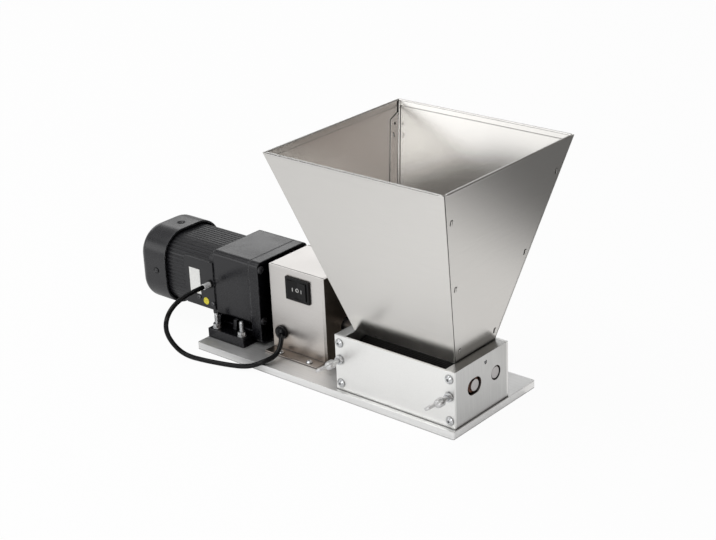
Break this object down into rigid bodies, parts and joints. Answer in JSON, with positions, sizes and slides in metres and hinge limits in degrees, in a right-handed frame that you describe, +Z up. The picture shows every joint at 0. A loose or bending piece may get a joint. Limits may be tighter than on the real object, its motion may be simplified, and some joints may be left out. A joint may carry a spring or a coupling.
{
  "type": "electric grain mill",
  "caption": "Electric two-roller grain mill on an aluminium plate: geared motor, switched shaft cover, mill box with wing screws and a large sheet steel hopper.",
  "frame": {"origin": "middle of the base plate's underside, on the standing surface", "axes": "+X along the plate from motor to mill, +Y to the rear, away from switch and wing screws, +Z up"},
  "size_m": [0.488, 0.201, 0.2668],
  "materials": {
    "plate_aluminium": "satin",
    "mill_aluminium": "fine bead-blasted",
    "hopper_steel": "satin sheet",
    "cover_steel": "satin sheet",
    "zinc_steel": "zinc plated",
    "roller_steel": "machined",
    "bronze": "machined",
    "coupling_alloy": "machined",
    "spider_rubber": "matt",
    "black_enamel": "satin black",
    "fan_plastic": "satin black",
    "laminations": "stacked sheet",
    "copper": "enamelled wire",
    "switch_plastic": "black",
    "cable_rubber": "black",
    "white_plastic": "white",
    "yellow_label": "yellow"
  },
  "bodies": {
    "frame": {"base_plate": "plate_aluminium", "mill_end_plate_left": "mill_aluminium", "mill_end_plate_right": "mill_aluminium", "mill_front_plate": "mill_aluminium", "mill_rear_plate": "mill_aluminium", "front_plate_screws": "zinc_steel", "rear_plate_screws": "zinc_steel", "mill_base_screws": "zinc_steel", "drive_bushes": "bronze", "wing_lock_nuts": "zinc_steel", "hopper_front_panel": "hopper_steel", "hopper_rear_panel": "hopper_steel", "hopper_left_panel": "hopper_steel", "hopper_right_panel": "hopper_steel", "hopper_foot_screws": "zinc_steel", "coupling_cover": "cover_steel", "cover_screws": "zinc_steel", "switch_housing": "switch_plastic", "cable_grommet": "cable_rubber", "mains_gland": "switch_plastic", "run_capacitor": "white_plastic", "capacitor_clamp": "cover_steel", "terminal_block": "white_plastic", "gearbox_housing": "black_enamel", "gearbox_end_cover": "black_enamel", "gearbox_cover_screws": "black_enamel", "foot_studs": "zinc_steel", "foot_nuts": "zinc_steel", "foot_washers": "zinc_steel", "output_bearings": "roller_steel", "intermediate_bushes": "bronze", "motor_bearings": "roller_steel", "motor_housing": "black_enamel", "stator_core": "laminations", "stator_windings": "copper", "motor_front_shield": "black_enamel", "motor_rear_shield": "black_enamel", "fan_cover": "fan_plastic", "fan_cover_screws": "fan_plastic", "rating_label": "white_plastic", "earth_label": "yellow_label", "panel_screws": "zinc_steel", "motor_cable_gland": "cable_rubber", "motor_cable": "cable_rubber"},
    "drive": {"drive_roller": "roller_steel", "coupling_mill_hub": "coupling_alloy", "coupling_spider": "spider_rubber", "coupling_motor_hub": "coupling_alloy", "output_shaft": "roller_steel", "output_gear": "roller_steel"},
    "intermediate": {"intermediate_gear": "roller_steel"},
    "rotor": {"rotor_shaft": "roller_steel", "rotor_core": "laminations", "cooling_fan": "fan_plastic"},
    "idler_carriage": {"idler_slide_bushes": "bronze"},
    "idler": {"idler_roller": "roller_steel", "idler_shaft": "roller_steel"},
    "wing_left": {"wing_screw_left": "zinc_steel"},
    "wing_right": {"wing_screw_right": "zinc_steel"},
    "rocker": {"switch_rocker": "switch_plastic"}
  },
  "joints": [
    {"name": "rotor_spin", "type": "hinge", "parent": "frame", "child": "rotor", "pos_m": [-0.2, 0.004, 0.06], "axis": [1, 0, 0], "continuous": true},
    {"name": "intermediate_spin", "type": "hinge", "parent": "frame", "child": "intermediate", "pos_m": [-0.14, 0.01912, 0.051], "axis": [1, 0, 0], "continuous": true},
    {"name": "drive_spin", "type": "hinge", "parent": "frame", "child": "drive", "pos_m": [0, 0.004, 0.042], "axis": [1, 0, 0], "continuous": true},
    {"name": "idler_gap", "type": "slide", "parent": "frame", "child": "idler_carriage", "axis": [0, 1, 0], "range_m": [-0.0006, 0.0006]},
    {"name": "idler_spin", "type": "hinge", "parent": "idler_carriage", "child": "idler", "pos_m": [0.096, -0.029, 0.042], "axis": [1, 0, 0], "continuous": true},
    {"name": "wing_left_turn", "type": "hinge", "parent": "frame", "child": "wing_left", "pos_m": [0.028, -0.07, 0.042], "axis": [0, -1, 0], "range_deg": [-720, 0]},
    {"name": "wing_right_turn", "type": "hinge", "parent": "frame", "child": "wing_right", "pos_m": [0.164, -0.07, 0.042], "axis": [0, -1, 0], "range_deg": [-720, 0]},
    {"name": "rocker_tilt", "type": "hinge", "parent": "frame", "child": "rocker", "pos_m": [-0.056, -0.028, 0.0835], "axis": [0, 0, 1], "range_deg": [-8, 8]}
  ],
  "couplings": [
    {"joint": "intermediate_spin", "follows": "rotor_spin", "ratio": -0.375},
    {"joint": "drive_spin", "follows": "rotor_spin", "ratio": 0.14062}
  ]
}
